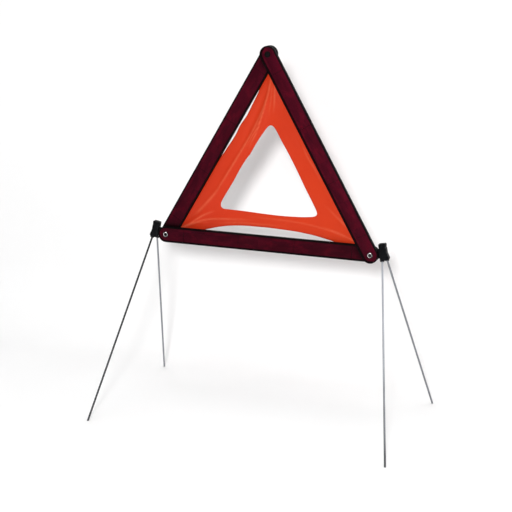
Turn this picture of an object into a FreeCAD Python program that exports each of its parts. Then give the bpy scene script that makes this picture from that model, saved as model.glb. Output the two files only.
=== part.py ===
import FreeCAD, Part
import math
import os
import Sketcher

# Folding warning triangle on four wire legs.
# Three reflector bars form the triangle: a base bar in the middle layer, the left arm behind it
# and the right arm in front of it. Each lower corner has a tubular rivet and a bracket that
# carries two wire legs. A film with a triangular window hangs behind the bars on three eyelets.
#
# Frame: millimetres, origin on the ground midway between the two rivets, +X to the right seen
# from the reflecting side, +Y to the rear, +Z up. The reflecting side faces -Y.

os.makedirs("parts", exist_ok=True)
doc = FreeCAD.newDocument("WarningTriangle")
V = FreeCAD.Vector

# ---------------------------------------------------------------- driving dimensions
SIZES = [
    ("pivot_span", 405.0),          # rivet to rivet, and rivet to apex stud
    ("pivot_height", 332.5),        # rivets above the ground
    ("turn_play", 0.10),            # radial clearance where a part turns
    ("fixed_play", 0.05),           # radial clearance where a part stays put
    # bars
    ("bar_width", 30.5),
    ("bar_thick", 7.6),
    ("layer_gap", 2.2),             # between two neighbouring bar layers
    ("edge_round", 0.9),
    ("rim_wall", 2.3),              # housing rim around the lens
    ("seat_depth", 2.4),            # lens seat below the rim
    ("lens_thick", 2.2),
    ("lens_play", 0.15),
    ("back_skin", 1.6),
    ("boss_rad", 5.5),              # solid boss left standing around each pivot
    ("cell_len", 49.4),             # hollow cells under the lens
    ("cell_wide", 21.5),
    ("cell_pitch", 52.6),
    ("cell_start", 20.0),
    ("cell_count", 7),
    ("seam_first", 37.0),           # seams between moulded lens fields
    ("seam_pitch", 110.33),
    ("seam_wide", 0.7),
    ("seam_deep", 0.5),
    ("seam_count", 4),
    ("back_panel_len", 330.0),      # sunk panel on the back, between its end arc centres
    ("back_panel_wide", 17.0),
    ("back_panel_deep", 0.5),
    # rivets, stud and bush
    ("rivet_rad", 3.2),
    ("rivet_bore", 2.7),
    ("rivet_head_rad", 4.6),
    ("rivet_head_thick", 1.0),
    ("rivet_roll_rad", 4.4),
    ("rivet_roll_thick", 0.55),
    ("rivet_roll_play", 0.1),       # eyelet to rolled end
    ("right_head_play", 0.08),      # right rivet's head to the right arm
    ("stud_rad", 2.6),
    ("stud_head_rad", 3.6),
    ("stud_head_thick", 0.8),
    ("stud_head_play", 0.02),
    ("stud_reach", 1.0),            # stud tip behind the right arm's back face
    ("bush_rad", 3.0),
    ("bush_bore", 2.1),
    ("bush_inset", 0.1),            # bush front below the left arm's front face
    ("bush_reach", 2.25),           # bush end behind the left arm's back face
    # film and eyelets
    ("film_thick", 0.5),
    ("film_corner", 8.6),           # corner radius around each eyelet
    ("film_bow_base", 28.4),        # mid-span draw-in of each edge from its eyelet line
    ("film_bow_left", 17.0),
    ("film_bow_right", 8.0),
    ("film_back_left", 14.6),       # film middle plane behind the base bar's middle plane
    ("film_back_right", 4.6),
    ("window_left", 117.5),         # centres of the window's rounded corners
    ("window_right", 285.5),
    ("window_low", 66.0),
    ("window_top", 207.0),
    ("window_mid", 204.0),
    ("window_round", 12.0),
    ("eyelet_rad", 5.0),
    ("eyelet_bore", 3.35),
    ("eyelet_barrel", 3.8),
    ("eyelet_play", 0.1),
    ("eyelet_flange", 0.28),
    ("eyelet_grip", 0.54),          # between the flanges
    # leg brackets
    ("lean_deg", 10.5),             # outward lean of the deployed brackets and legs
    ("splay_deg", 27.0),            # fore and aft splay of a leg
    ("block_out", 24.0),            # rivet to the middle of the bracket block
    ("block_wide", 13.5),
    ("block_deep", 12.0),
    ("block_low", 11.5),            # block bottom below the rivet, along the bracket
    ("block_tall", 30.0),
    ("block_round", 1.6),
    ("foot_low", 15.2),             # lowest point of the feet below the rivet
    ("foot_wide", 6.4),
    ("flare", 2.6),                 # outward flare at the bottom of the block
    ("flare_root", 2.0),            # how far the flare is sunk into the block
    ("flare_top", 1.0),             # above the rivet
    ("groove_mid", 11.6),           # above the rivet
    ("groove_deep", 0.9),
    ("groove_floor", 2.4),
    ("groove_mouth", 4.0),
    ("tab_thick", 1.8),
    ("tab_rad", 8.6),
    ("tab_reach", 19.6),
    ("slot_wide", 4.0),
    ("slot_round", 3.7),
    ("slot_half", 2.05),
    ("slot_overrun", 1.0),          # slot cut past the bottom of the foot
    # legs and pins
    ("wire_rad", 1.8),
    ("wire_offset", 3.9),           # each wire either side of the block's middle
    ("wire_length", 390.0),         # before the foot is cut level with the ground
    ("wire_start", 1.6),            # upper end of the wire below the pin axis
    ("eye_rad", 3.3),
    ("eye_extra", 0.1),             # eye length beyond the wire's diameter
    ("pin_low", 8.5),               # leg pin below the rivet, along the bracket
    ("pin_rad", 1.2),
    ("pin_play", 0.05),             # pin in the leg's eye
    ("pin_bore_play", 0.02),        # pin in the bracket
]
sheet = doc.addObject("Spreadsheet::Sheet", "Dims")
for row, (alias, number) in enumerate(SIZES, start=1):
    sheet.set("A%d" % row, alias)
    sheet.set("B%d" % row, repr(number))
    sheet.setAlias("B%d" % row, alias)
doc.recompute()
VALUE = {alias: float(number) for alias, number in SIZES}

OPERATIONS = {
    "+": lambda a, b: a + b,
    "-": lambda a, b: a - b,
    "*": lambda a, b: a * b,
    "/": lambda a, b: a / b,
}


class Size:
    """A number together with its expression in terms of the sheet."""

    def __init__(self, value, text):
        self.value, self.text = float(value), text

    def __add__(self, other): return combine(self, "+", other)
    def __sub__(self, other): return combine(self, "-", other)
    def __rsub__(self, other): return combine(other, "-", self)
    def __mul__(self, other): return combine(self, "*", other)
    def __rmul__(self, other): return combine(other, "*", self)
    def __truediv__(self, other): return combine(self, "/", other)
    def __neg__(self): return combine(0, "-", self)


def as_size(number):
    return number if isinstance(number, Size) else Size(number, repr(float(number)))


def combine(first, sign, second):
    first, second = as_size(first), as_size(second)
    return Size(OPERATIONS[sign](first.value, second.value),
                "(%s %s %s)" % (first.text, sign, second.text))


def dim(alias):
    return Size(VALUE[alias], "Dims." + alias)


def sin_deg(angle):
    return Size(math.sin(math.radians(angle.value)), "sin(%s * 1 deg)" % angle.text)


def cos_deg(angle):
    return Size(math.cos(math.radians(angle.value)), "cos(%s * 1 deg)" % angle.text)


def bind(obj, prop, size):
    obj.setExpression(prop, size.text)


# ---------------------------------------------------------------- sketch helpers
START, END, CENTRE = 1, 2, 3        # points of a sketch element
X_AXIS, Y_AXIS = -1, -2             # the sketch's own axes; the origin is the start of X_AXIS


def new_body(name):
    body = doc.addObject("PartDesign::Body", name)
    body.Label = name
    return body


def new_sketch(body, name, role="XY_Plane", lift=None):
    """Sketch on an origin plane of the body, raised by lift along the plane's normal."""
    plane = next(item for item in body.Origin.OriginFeatures if item.Role == role)
    sk = body.newObject("Sketcher::SketchObject", body.Name + "_" + name)
    sk.AttachmentSupport = [(plane, "")]
    sk.MapMode = "FlatFace"
    if lift is not None:
        sk.AttachmentOffset = FreeCAD.Placement(V(0, 0, lift.value), FreeCAD.Rotation())
        bind(sk, "AttachmentOffset.Base.z", lift)
    return sk


def dimension(sk, kind, elements, size):
    index = sk.addConstraint(Sketcher.Constraint(kind, *elements, size.value))
    if "Dims." in size.text:
        bind(sk, "Constraints[%d]" % index, size)


def place_point(sk, element, point, x, y):
    """Dimension a point from the origin; a zero coordinate ties it to the axis instead."""
    if abs(x.value) < 1e-9 and abs(y.value) < 1e-9:
        sk.addConstraint(Sketcher.Constraint("Coincident", element, point, X_AXIS, START))
        return
    for kind, size, axis in (("DistanceY", y, X_AXIS), ("DistanceX", x, Y_AXIS)):
        if abs(size.value) < 1e-9:
            sk.addConstraint(Sketcher.Constraint("PointOnObject", element, point, axis))
        else:
            dimension(sk, kind, (X_AXIS, START, element, point), size)


def circle(sk, x, y, radius):
    x, y = as_size(x), as_size(y)
    round_line = Part.Circle(V(x.value, y.value, 0), V(0, 0, 1), radius.value)
    element = sk.addGeometry(round_line, False)
    place_point(sk, element, CENTRE, x, y)
    dimension(sk, "Radius", (element,), radius)


def rounded(sk, centres, radius):
    """Closed outline of straight sides and equal corner arcs; centres run anticlockwise."""
    sizes = [(as_size(x), as_size(y)) for x, y in centres]
    spots = [V(x.value, y.value, 0) for x, y in sizes]
    count = len(spots)
    outward = []                    # direction square to each side, away from the outline
    for i in range(count):
        run = spots[(i + 1) % count] - spots[i]
        outward.append(math.atan2(run.y, run.x) - math.pi / 2)
    arcs, lines = [], []
    for i in range(count):
        start, end = outward[i - 1], outward[i]
        while end < start:
            end += 2 * math.pi
        corner = Part.Circle(spots[i], V(0, 0, 1), radius.value)
        arcs.append(sk.addGeometry(Part.ArcOfCircle(corner, start, end), False))
    for i in range(count):
        offset = V(math.cos(outward[i]), math.sin(outward[i]), 0) * radius.value
        side = Part.LineSegment(spots[i] + offset, spots[(i + 1) % count] + offset)
        lines.append(sk.addGeometry(side, False))
    for i in range(count):
        following = arcs[(i + 1) % count]
        sk.addConstraint(Sketcher.Constraint("Tangent", arcs[i], END, lines[i], START))
        sk.addConstraint(Sketcher.Constraint("Tangent", lines[i], END, following, START))
    for arc, (x, y) in zip(arcs, sizes):
        place_point(sk, arc, CENTRE, x, y)
        dimension(sk, "Radius", (arc,), radius)


def polygon(sk, points):
    sizes = [(as_size(x), as_size(y)) for x, y in points]
    spots = [V(x.value, y.value, 0) for x, y in sizes]
    count = len(spots)
    lines = []
    for i in range(count):
        side = Part.LineSegment(spots[i], spots[(i + 1) % count])
        lines.append(sk.addGeometry(side, False))
    for i in range(count):
        following = lines[(i + 1) % count]
        sk.addConstraint(Sketcher.Constraint("Coincident", lines[i], END, following, START))
    for line, (x, y) in zip(lines, sizes):
        place_point(sk, line, START, x, y)


def rectangle(sk, x_low, x_high, y_half):
    polygon(sk, [(x_low, -y_half), (x_high, -y_half), (x_high, y_half), (x_low, y_half)])


# ---------------------------------------------------------------- feature helpers
def pad(body, sk, length, centred=False):
    feature = body.newObject("PartDesign::Pad", sk.Name + "_pad")
    feature.Profile = sk
    if centred:
        feature.Midplane = True
    feature.Length = length.value
    bind(feature, "Length", length)
    sk.Visibility = False
    doc.recompute()
    return feature


def pocket(body, sk, depth, centred=False, back=False):
    before = body.Shape.Volume
    feature = body.newObject("PartDesign::Pocket", sk.Name + "_cut")
    feature.Profile = sk
    feature.Length = depth.value
    bind(feature, "Length", depth)
    if centred:
        feature.Midplane = True
    feature.Reversed = back
    doc.recompute()
    if not feature.Shape.Volume < before - 1e-6:
        raise RuntimeError("a cut removed nothing: " + feature.Name)
    return feature


def round_edges(body, feature, test, radius):
    """Fillet the edges of the feature that pass the test."""
    chosen = ["Edge%d" % i for i, edge in enumerate(feature.Shape.Edges, start=1) if test(edge)]
    fillet = body.newObject("PartDesign::Fillet", feature.Name + "_round")
    fillet.Base = (feature, chosen)
    fillet.Radius = radius.value
    bind(fillet, "Radius", radius)
    doc.recompute()


def repeat_along_x(body, name, feature, sk, pitch, count):
    row = body.newObject("PartDesign::LinearPattern", name)
    row.Originals = [feature]
    row.Direction = (sk, ["H_Axis"])
    length = pitch * (count - 1)
    row.Length = length.value
    bind(row, "Length", length)
    row.Occurrences = int(count.value)
    body.Tip = row
    doc.recompute()


nodes = []                          # (name, object) of every finished piece


def keep(obj, name, placement=None):
    obj.Label = name
    if placement is not None:
        obj.Placement = placement
    nodes.append((name, obj))


def turned(name, points, placement):
    """Piece turned about its local Z; points are (radius, height along local Z)."""
    body = new_body(name)
    sk = new_sketch(body, "profile", "XZ_Plane")
    polygon(sk, points)
    turn = body.newObject("PartDesign::Revolution", name + "_turn")
    turn.Profile = sk
    turn.ReferenceAxis = (sk, ["V_Axis"])
    turn.Angle = 360.0
    doc.recompute()
    keep(body, name, placement)


# ---------------------------------------------------------------- where things stand
def frame_of(x_dir, z_dir, base):
    """Placement whose local X and Z run along the given directions."""
    x = V(x_dir).normalize()
    z = V(z_dir)
    z = (z - x * x.dot(z)).normalize()
    y = z.cross(x)
    return FreeCAD.Placement(FreeCAD.Matrix(
        x.x, y.x, z.x, base.x,
        x.y, y.y, z.y, base.y,
        x.z, y.z, z.z, base.z,
        0, 0, 0, 1))


def shifted(placement, x, y, z, rotation=None):
    """A placement moved, then turned, in its own local frame."""
    return placement.multiply(FreeCAD.Placement(V(x, y, z), rotation or FreeCAD.Rotation()))


LEFT, RIGHT = -1, 1                 # side of the triangle, as the sign of X
SIN_60 = math.sqrt(3.0) / 2.0
layer_pitch = dim("bar_thick") + dim("layer_gap")
layer = layer_pitch.value
span = VALUE["pivot_span"]
rise = span * SIN_60                # rivet line to apex


def rivet_point(side):
    return V(side * span / 2, 0, VALUE["pivot_height"])


def arm_placement(side):
    """Local X runs up the arm and local Z out of its front.
    Each arm starts one layer from the base bar and leans to half a layer at the apex."""
    slope = (layer / 2) / rise
    stretch = math.sqrt(1 + slope * slope)
    front = V(0, -1 / stretch, side * slope / stretch)
    along = V(-side * 0.5, side * SIN_60 * slope / stretch, SIN_60 / stretch)
    return frame_of(along, front, rivet_point(side) + V(0, -side * layer, 0))


def bracket_placement(side):
    """Local X points outward from the rivet, local Z up along the bracket."""
    lean = math.radians(VALUE["lean_deg"])
    outward = V(side * math.cos(lean), 0, math.sin(lean))
    upward = V(-side * math.sin(lean), 0, math.cos(lean))
    return frame_of(outward, upward, rivet_point(side) + V(0, -side * layer / 2, 0))


base_place = frame_of(V(1, 0, 0), V(0, -1, 0), rivet_point(LEFT))
left_place, right_place = arm_placement(LEFT), arm_placement(RIGHT)

# The film hangs slightly askew to the bars, so its eyelets are a little further apart
# than the rivets. Its local X runs from the left eyelet to the right one, local Z forward.
film_left_at = rivet_point(LEFT) + V(0, VALUE["film_back_left"], 0)
film_right_at = rivet_point(RIGHT) + V(0, VALUE["film_back_right"], 0)
film_across = film_right_at - film_left_at
film_place = frame_of(film_across, film_across.cross(V(0, 0, 1)), film_left_at)
film_span = Size(film_across.Length, "sqrt(Dims.pivot_span ^ 2"
                 " + (Dims.film_back_left - Dims.film_back_right) ^ 2)")

# ---------------------------------------------------------------- reflector bars
half_width, half_thick = dim("bar_width") / 2, dim("bar_thick") / 2
PIVOTS = [(0, 0), (dim("pivot_span"), 0)]


def bar_housing(name, placement, near_hole, far_hole):
    """Tray moulding: rounded ends, lens seat in front, ribbed hollow below it, sunk back panel."""
    body = new_body(name)
    sk = new_sketch(body, "outline")
    rounded(sk, PIVOTS, half_width)
    slab = pad(body, sk, dim("bar_thick"), centred=True)

    def on_a_face(edge):
        return abs(abs(edge.CenterOfMass.z) - half_thick.value) < 1e-6

    round_edges(body, slab, on_a_face, dim("edge_round"))

    sk = new_sketch(body, "seat", lift=half_thick)
    rounded(sk, PIVOTS, half_width - dim("rim_wall"))
    for x, y in PIVOTS:
        circle(sk, x, y, dim("boss_rad"))
    pocket(body, sk, dim("seat_depth"))

    sk = new_sketch(body, "cell", lift=half_thick - dim("seat_depth"))
    start = dim("cell_start")
    rectangle(sk, start, start + dim("cell_len"), dim("cell_wide") / 2)
    cell = pocket(body, sk, dim("bar_thick") - dim("back_skin") - dim("seat_depth"))
    repeat_along_x(body, name + "_cells", cell, sk, dim("cell_pitch"), dim("cell_count"))

    sk = new_sketch(body, "panel", lift=-half_thick)
    middle, half_length = dim("pivot_span") / 2, dim("back_panel_len") / 2
    ends = [(middle - half_length, 0), (middle + half_length, 0)]
    rounded(sk, ends, dim("back_panel_wide") / 2)
    pocket(body, sk, dim("back_panel_deep"), back=True)

    for tag, (x, y), radius in zip(("near", "far"), PIVOTS, (near_hole, far_hole)):
        sk = new_sketch(body, tag + "_hole")
        circle(sk, x, y, radius)
        pocket(body, sk, dim("bar_thick") * 2, centred=True)
    keep(body, name, placement)


def bar_lens(name, placement):
    """Flat strip between the housing's rims, with seams between its moulded fields."""
    body = new_body(name)
    top = half_thick - dim("lens_play")
    sk = new_sketch(body, "outline", lift=top - dim("lens_thick"))
    rounded(sk, PIVOTS, half_width - dim("rim_wall") - dim("lens_play"))
    for x, y in PIVOTS:
        circle(sk, x, y, dim("boss_rad") + dim("lens_play"))
    pad(body, sk, dim("lens_thick"))

    sk = new_sketch(body, "seam", lift=top)
    start = dim("seam_first")
    rectangle(sk, start, start + dim("seam_wide"), half_width)
    seam = pocket(body, sk, dim("seam_deep"))
    repeat_along_x(body, name + "_seams", seam, sk, dim("seam_pitch"), dim("seam_count"))
    keep(body, name, placement)


turn_hole = dim("rivet_rad") + dim("turn_play")
fixed_hole = dim("rivet_rad") + dim("fixed_play")
bush_hole = dim("bush_rad") + dim("fixed_play")
stud_hole = dim("stud_rad") + dim("fixed_play")
for bar, place, near, far in (
    ("base", base_place, fixed_hole, fixed_hole),
    ("left_arm", left_place, turn_hole, bush_hole),
    ("right_arm", right_place, turn_hole, stud_hole),
):
    bar_housing(bar + "_housing", place, near, far)
    bar_lens(bar + "_lens", place)


# ---------------------------------------------------------------- rivets, stud and bush
def tube_rivet(name, side, head_seat, film_back):
    """Open tube with a bevelled front head and a rolled rear end; local Z runs rearward.
    The head's underside is at head_seat and the film's middle plane at film_back."""
    shank, bore = dim("rivet_rad"), dim("rivet_bore")
    head, head_thick = dim("rivet_head_rad"), dim("rivet_head_thick")
    roll, roll_thick = dim("rivet_roll_rad"), dim("rivet_roll_thick")
    front = head_seat - head_thick
    eyelet_back = film_back + dim("eyelet_grip") / 2 + dim("eyelet_flange")
    rear = eyelet_back + dim("rivet_roll_play") + roll_thick
    turned(name, [
        # head
        (bore, front + head_thick * 0.25),
        (bore + head_thick * 0.35, front),
        (head - head_thick * 0.55, front),
        (head, front + head_thick * 0.7),
        (head, head_seat),
        # shank
        (shank, head_seat),
        (shank, rear - roll_thick),
        # rolled end
        (roll, rear - roll_thick),
        (roll, rear - roll_thick * 0.4),
        (roll - roll_thick * 0.6, rear),
        (bore + roll_thick * 0.5, rear),
        (bore, rear - roll_thick * 0.5),
    ], frame_of(V(1, 0, 0), V(0, 1, 0), rivet_point(side)))


def apex_stud():
    """Push stud in the right arm's tip: low bevelled head in front, tapered tip behind."""
    radius, reach = dim("stud_rad"), dim("stud_reach")
    head, head_thick = dim("stud_head_rad"), dim("stud_head_thick")
    head_seat = half_thick + dim("stud_head_play")
    turned("apex_stud", [
        # tip
        (0, -half_thick - reach),
        (radius * 0.75, -half_thick - reach),
        (radius, -half_thick - reach * 0.55),
        (radius, head_seat),
        # head
        (head, head_seat),
        (head, half_thick + head_thick * 0.45),
        (head * 0.72, half_thick + head_thick),
        (0, half_thick + head_thick),
    ], shifted(right_place, span, 0, 0))


def apex_bush():
    """Tube through the left arm's tip; its rolled rear end holds the film's top eyelet."""
    radius, bore = dim("bush_rad"), dim("bush_bore")
    roll, roll_thick = dim("rivet_roll_rad"), dim("rivet_roll_thick")
    front = half_thick - dim("bush_inset")
    rear = -half_thick - dim("bush_reach")
    turned("apex_snap_bush", [
        # bevelled mouth and bore
        (bore + 0.4, front),
        (bore, front - 0.4),
        (bore, rear + 0.3),
        (bore + 0.3, rear),
        # rolled end
        (roll - 0.3, rear),
        (roll, rear + 0.25),
        (roll, rear + roll_thick),
        # outside
        (radius, rear + roll_thick),
        (radius, front),
    ], shifted(left_place, span, 0, 0))


tube_rivet("left_rivet", LEFT, -half_thick, dim("film_back_left"))
tube_rivet("right_rivet", RIGHT, -half_thick - layer_pitch - dim("right_head_play"),
           dim("film_back_right"))
apex_stud()
apex_bush()


# ---------------------------------------------------------------- film and its eyelets
def film():
    body = new_body("warning_film")
    through = dim("film_thick") * 4
    root3 = Size(math.sqrt(3.0), "sqrt(3)")
    middle, top = film_span / 2, dim("pivot_span") * root3 / 2
    corners = [(0, 0), (film_span, 0), (middle, top)]
    sk = new_sketch(body, "outline")
    rounded(sk, corners, dim("film_corner"))
    pad(body, sk, dim("film_thick"), centred=True)

    # each side is drawn in between its eyelets: a large circle is cut away along it
    for tag, bow in (("low", dim("film_bow_base")), ("left", dim("film_bow_left")),
                     ("right", dim("film_bow_right"))):
        sag = bow + dim("film_corner")
        radius = (film_span * film_span / 4 + sag * sag) / (2 * sag)
        out = radius - bow          # circle centre outside the eyelet line
        side_height = root3 / 4 * film_span + out / 2
        sk = new_sketch(body, tag + "_edge")
        if tag == "low":
            circle(sk, middle, -out, radius)
        elif tag == "left":
            circle(sk, film_span / 4 - root3 / 2 * out, side_height, radius)
        else:
            circle(sk, 3 * film_span / 4 + root3 / 2 * out, side_height, radius)
        pocket(body, sk, through, centred=True)

    sk = new_sketch(body, "window")
    rounded(sk, [
        (dim("window_left"), dim("window_low")),
        (dim("window_right"), dim("window_low")),
        (dim("window_mid"), dim("window_top")),
    ], dim("window_round"))
    pocket(body, sk, through, centred=True)

    for tag, (x, y) in zip("abc", corners):
        sk = new_sketch(body, "eye_" + tag)
        circle(sk, x, y, dim("eyelet_barrel") + dim("eyelet_play"))
        pocket(body, sk, through, centred=True)
    keep(body, "warning_film", film_place)


def eyelet(name, x, y):
    """Barrel through the film with a flange on either face; x and y lie in the film."""
    bore, rim, barrel = dim("eyelet_bore"), dim("eyelet_rad"), dim("eyelet_barrel")
    inside = dim("eyelet_grip") / 2
    outside = inside + dim("eyelet_flange")
    turned(name, [
        (bore, -outside), (rim, -outside), (rim, -inside), (barrel, -inside),
        (barrel, inside), (rim, inside), (rim, outside), (bore, outside),
    ], shifted(film_place, x, y, 0))


film()
eyelet("left_film_eyelet", 0, 0)
eyelet("right_film_eyelet", film_span.value, 0)
eyelet("apex_film_eyelet", film_span.value / 2, rise)


# ---------------------------------------------------------------- leg brackets
def bracket(name, placement):
    """Block beside the rivet with a tab around it and a slotted foot for each of two wires.
    The outer slot opens toward local +Y and the inner slot toward local -Y."""
    body = new_body(name)
    middle, half_deep = dim("block_out"), dim("block_deep") / 2
    face = middle + dim("block_wide") / 2       # outer face of the block
    low, tall = dim("block_low"), dim("block_tall")

    sk = new_sketch(body, "block", lift=-low)
    rectangle(sk, middle - dim("block_wide") / 2, face, half_deep)
    block = pad(body, sk, tall)

    def upright_or_top(edge):
        upright = abs(edge.BoundBox.ZLength - tall.value) < 1e-6
        return upright or abs(edge.CenterOfMass.z - (tall - low).value) < 1e-6

    round_edges(body, block, upright_or_top, dim("block_round"))

    # tab around the rivet, running out into the block
    sk = new_sketch(body, "tab", "XZ_Plane")
    rounded(sk, [(0, 0), (dim("tab_reach"), 0)], dim("tab_rad"))
    pad(body, sk, dim("tab_thick"), centred=True)
    sk = new_sketch(body, "tab_hole", "XZ_Plane")
    circle(sk, 0, 0, turn_hole)
    pocket(body, sk, dim("tab_thick") * 4, centred=True)

    # outward flare at the bottom, (local X, local Z); stops 1 short of the block's front and back
    root, flare_top, flare_tip = face - dim("flare_root"), dim("flare_top"), face + dim("flare")
    sk = new_sketch(body, "flare", "XZ_Plane")
    polygon(sk, [
        (root, flare_top), (face - 0.2, flare_top), (flare_tip, 2.5 - low),
        (flare_tip - 0.5, 0.4 - low), (root, 0.4 - low),
    ])
    pad(body, sk, dim("block_deep") - 2, centred=True)

    # groove across the outer face, widening outward; cut 1 past each face
    floor, outside, height = face - dim("groove_deep"), face + 1, dim("groove_mid")
    half_floor, half_mouth = dim("groove_floor") / 2, dim("groove_mouth") / 2
    sk = new_sketch(body, "groove", "XZ_Plane")
    polygon(sk, [
        (floor, height - half_floor), (outside, height - half_mouth),
        (outside, height + half_mouth), (floor, height + half_floor),
    ])
    pocket(body, sk, dim("block_deep") + 2, centred=True)

    # foot and slot outlines for the outer wire, (local Y, local Z)
    pin_low, foot, slot = dim("pin_low"), dim("foot_low"), dim("slot_half")
    sine, cosine = sin_deg(dim("splay_deg")), cos_deg(dim("splay_deg"))
    slot_end = foot + dim("slot_overrun")
    run = (slot_end - pin_low + slot * sine) / cosine   # slot side along the splayed wire
    foot_outline = [
        (-slot - 1.5, -pin_low + 1.5), (half_deep - 0.8, -pin_low + 1.5),
        (half_deep + 0.4, -pin_low - 1.2), (half_deep + 0.35, 2.3 - foot),
        (half_deep - 3.0, -foot), (-slot - 1.5, 2.4 - foot),
    ]
    slot_outline = [
        (-slot, -pin_low), (-slot, -slot_end),
        (slot * cosine + run * sine, -slot_end), (slot * cosine, -pin_low + slot * sine),
    ]
    wires = (("outer", 1), ("inner", -1))

    def wire_sketch(tag, side, outline):
        """Sketch in the wire's plane; the inner wire's outline is mirrored."""
        lift = middle + side * dim("wire_offset")
        sk = new_sketch(body, tag, "YZ_Plane", lift=lift)
        polygon(sk, outline if side > 0 else [(-y, z) for y, z in outline][::-1])
        return sk

    for tag, side in wires:
        sk = wire_sketch(tag + "_foot", side, foot_outline)
        pad(body, sk, dim("foot_wide"), centred=True)
    for tag, side in wires:
        lift = middle + side * dim("wire_offset")
        sk = new_sketch(body, tag + "_eye", "YZ_Plane", lift=lift)
        circle(sk, 0, -pin_low, dim("slot_round"))
        pocket(body, sk, dim("slot_wide"), centred=True)
        sk = wire_sketch(tag + "_slot", side, slot_outline)
        pocket(body, sk, dim("slot_wide"), centred=True)

    sk = new_sketch(body, "pin_bore", "YZ_Plane", lift=middle)
    circle(sk, 0, -pin_low, dim("pin_rad") + dim("pin_bore_play"))
    pocket(body, sk, dim("block_wide") + 1, centred=True)
    keep(body, name, placement)


bracket("left_leg_bracket", bracket_placement(LEFT))
bracket("right_leg_bracket", bracket_placement(RIGHT))

# ---------------------------------------------------------------- leg pins and wire legs
GROUND_SPAN, GROUND_DEEP = 2000, 200            # box that cuts the legs level with the ground
ALONG_X = FreeCAD.Rotation(V(0, 1, 0), 90)      # turns a cylinder's axis to local X


def cylinder(name, radius, length, placement):
    obj = doc.addObject("Part::Cylinder", name)
    bind(obj, "Radius", radius)
    bind(obj, "Height", length)
    obj.Placement = placement
    return obj


def boolean(kind, name, base, tool):
    obj = doc.addObject("Part::" + kind, name)
    obj.Base, obj.Tool = base, tool
    return obj


def leg_pin(name, bracket_place):
    start = VALUE["block_out"] - VALUE["block_wide"] / 2
    place = shifted(bracket_place, start, 0, -VALUE["pin_low"], ALONG_X)
    keep(cylinder(name, dim("pin_rad"), dim("block_wide"), place), name)


def wire_leg(name, bracket_place, wire_side):
    """Wire with an eye around the pin; wire_side is 1 for the outer wire, -1 for the inner."""
    hinge = shifted(bracket_place, VALUE["block_out"] + wire_side * VALUE["wire_offset"], 0,
                    -VALUE["pin_low"], FreeCAD.Rotation(V(1, 0, 0), wire_side * VALUE["splay_deg"]))
    radius = dim("wire_rad")
    eye_length = radius * 2 + dim("eye_extra")
    eye = cylinder(name + "_eye", dim("eye_rad"), eye_length,
                   shifted(hinge, -eye_length.value / 2, 0, 0, ALONG_X))
    wire = cylinder(name + "_wire", radius, dim("wire_length"),
                    shifted(hinge, 0, 0, -VALUE["wire_length"] - VALUE["wire_start"]))
    blank = boolean("Fuse", name + "_blank", eye, wire)
    bore = cylinder(name + "_bore", dim("pin_rad") + dim("pin_play"), radius * 4,
                    shifted(hinge, -2 * radius.value, 0, 0, ALONG_X))
    bored = boolean("Cut", name + "_bored", blank, bore)
    ground = doc.addObject("Part::Box", name + "_ground")
    ground.Length, ground.Width, ground.Height = GROUND_SPAN, GROUND_SPAN, GROUND_DEEP
    ground.Placement.Base = V(-GROUND_SPAN / 2, -GROUND_SPAN / 2, -GROUND_DEEP)
    leg = boolean("Cut", name, bored, ground)
    doc.recompute()
    keep(leg, name)


for side_name, side, outer, inner in (
    ("left", LEFT, "front", "rear"),
    ("right", RIGHT, "rear", "front"),
):
    place = bracket_placement(side)
    leg_pin(side_name + "_leg_pin", place)
    wire_leg("%s_%s_leg" % (side_name, outer), place, 1)
    wire_leg("%s_%s_leg" % (side_name, inner), place, -1)

# ---------------------------------------------------------------- check and write
doc.recompute()
bad = [o.Name for o in doc.Objects if any(word in str(o.State) for word in ("Invalid", "Error"))]
if bad:
    raise RuntimeError("failed objects: " + ", ".join(bad))
for name, obj in nodes:
    shape = obj.Shape
    if shape.isNull() or not shape.isValid() or len(shape.Solids) != 1:
        raise RuntimeError("not one valid solid: " + name)
for name, obj in nodes:
    obj.Shape.exportStep("parts/%s.step" % name)
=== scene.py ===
"""Folding warning triangle on four wire legs, with an orange-red film stretched across it.

Metres, +Z up. The triangle stands in the XZ plane with its front toward -Y. The base bar
runs along X from the left pivot to the right pivot, and two arm bars rise to the apex.
The CAD pieces get their materials here; the film, stage, lights and camera are built.
"""
import math

import bmesh
import bpy
import numpy as np
from mathutils import Matrix, Vector, geometry, noise


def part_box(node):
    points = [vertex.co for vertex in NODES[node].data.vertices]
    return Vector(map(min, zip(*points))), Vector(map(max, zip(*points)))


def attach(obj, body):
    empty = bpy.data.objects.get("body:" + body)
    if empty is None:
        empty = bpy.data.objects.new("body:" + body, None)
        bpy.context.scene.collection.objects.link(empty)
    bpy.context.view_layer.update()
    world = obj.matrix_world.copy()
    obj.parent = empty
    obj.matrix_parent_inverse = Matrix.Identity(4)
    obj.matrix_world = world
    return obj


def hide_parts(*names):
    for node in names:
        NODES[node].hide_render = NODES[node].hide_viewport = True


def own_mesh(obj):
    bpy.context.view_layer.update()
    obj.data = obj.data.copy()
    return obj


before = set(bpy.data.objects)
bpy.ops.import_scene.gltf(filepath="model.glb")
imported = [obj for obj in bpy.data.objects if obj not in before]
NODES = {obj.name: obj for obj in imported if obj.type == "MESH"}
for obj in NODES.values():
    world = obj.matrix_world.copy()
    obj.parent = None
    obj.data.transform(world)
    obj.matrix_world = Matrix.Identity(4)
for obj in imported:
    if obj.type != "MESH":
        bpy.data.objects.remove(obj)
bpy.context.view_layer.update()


def centre(name):
    low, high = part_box(name)
    return (low + high) / 2


MM = 0.001
SIN_60 = math.sqrt(3) / 2
COS_60 = 0.5

left_eye = centre("left_film_eyelet")
right_eye = centre("right_film_eyelet")
apex_eye = centre("apex_film_eyelet")
left_pivot = centre("left_rivet")
right_pivot = centre("right_rivet")


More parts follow.
